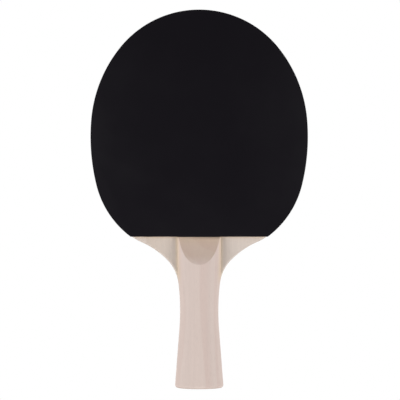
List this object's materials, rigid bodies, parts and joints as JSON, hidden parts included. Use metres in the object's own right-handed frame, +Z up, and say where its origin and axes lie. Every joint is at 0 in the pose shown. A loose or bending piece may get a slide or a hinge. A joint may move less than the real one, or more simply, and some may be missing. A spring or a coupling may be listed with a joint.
{
  "type": "table tennis paddle",
  "caption": "Table tennis paddle: laminated wooden blade, smooth rubber over sponge on both sides, bare flared wooden handle with scooped scales.",
  "frame": {"origin": "centre of the butt end of the handle, on the middle plane of the blade", "axes": "+Z up the handle to the top of the head, +X across the blade, -Y out of the front (black) side"},
  "size_m": [0.1508, 0.0252, 0.263],
  "materials": {
    "blade_wood": "bare sanded face veneer, grain along the handle",
    "cross_wood": "bare cross-grain veneer, seen only at its cut edge",
    "core_wood": "bare light core veneer, seen only at its cut edge",
    "handle_wood": "bare sanded solid wood, grain along the handle",
    "wood_glue": "dried wood glue line, matte",
    "black_rubber": "smooth black playing rubber, soft satin sheen",
    "red_rubber": "smooth red playing rubber, soft satin sheen",
    "sponge": "fine-celled cream yellow sponge, matte",
    "sheet_glue": "dried contact cement film, matte"
  },
  "bodies": {
    "root": {"core_ply": "core_wood", "front_inner_ply_glue": "wood_glue", "front_inner_ply": "cross_wood", "front_outer_ply_glue": "wood_glue", "front_outer_ply": "blade_wood", "front_sponge_glue": "sheet_glue", "front_sponge": "sponge", "front_top_sheet_glue": "sheet_glue", "front_top_sheet": "black_rubber", "front_scale_glue": "wood_glue", "front_handle_scale": "handle_wood", "back_inner_ply_glue": "wood_glue", "back_inner_ply": "cross_wood", "back_outer_ply_glue": "wood_glue", "back_outer_ply": "blade_wood", "back_sponge_glue": "sheet_glue", "back_sponge": "sponge", "back_top_sheet_glue": "sheet_glue", "back_top_sheet": "red_rubber", "back_scale_glue": "wood_glue", "back_handle_scale": "handle_wood"}
  },
  "joints": []
}
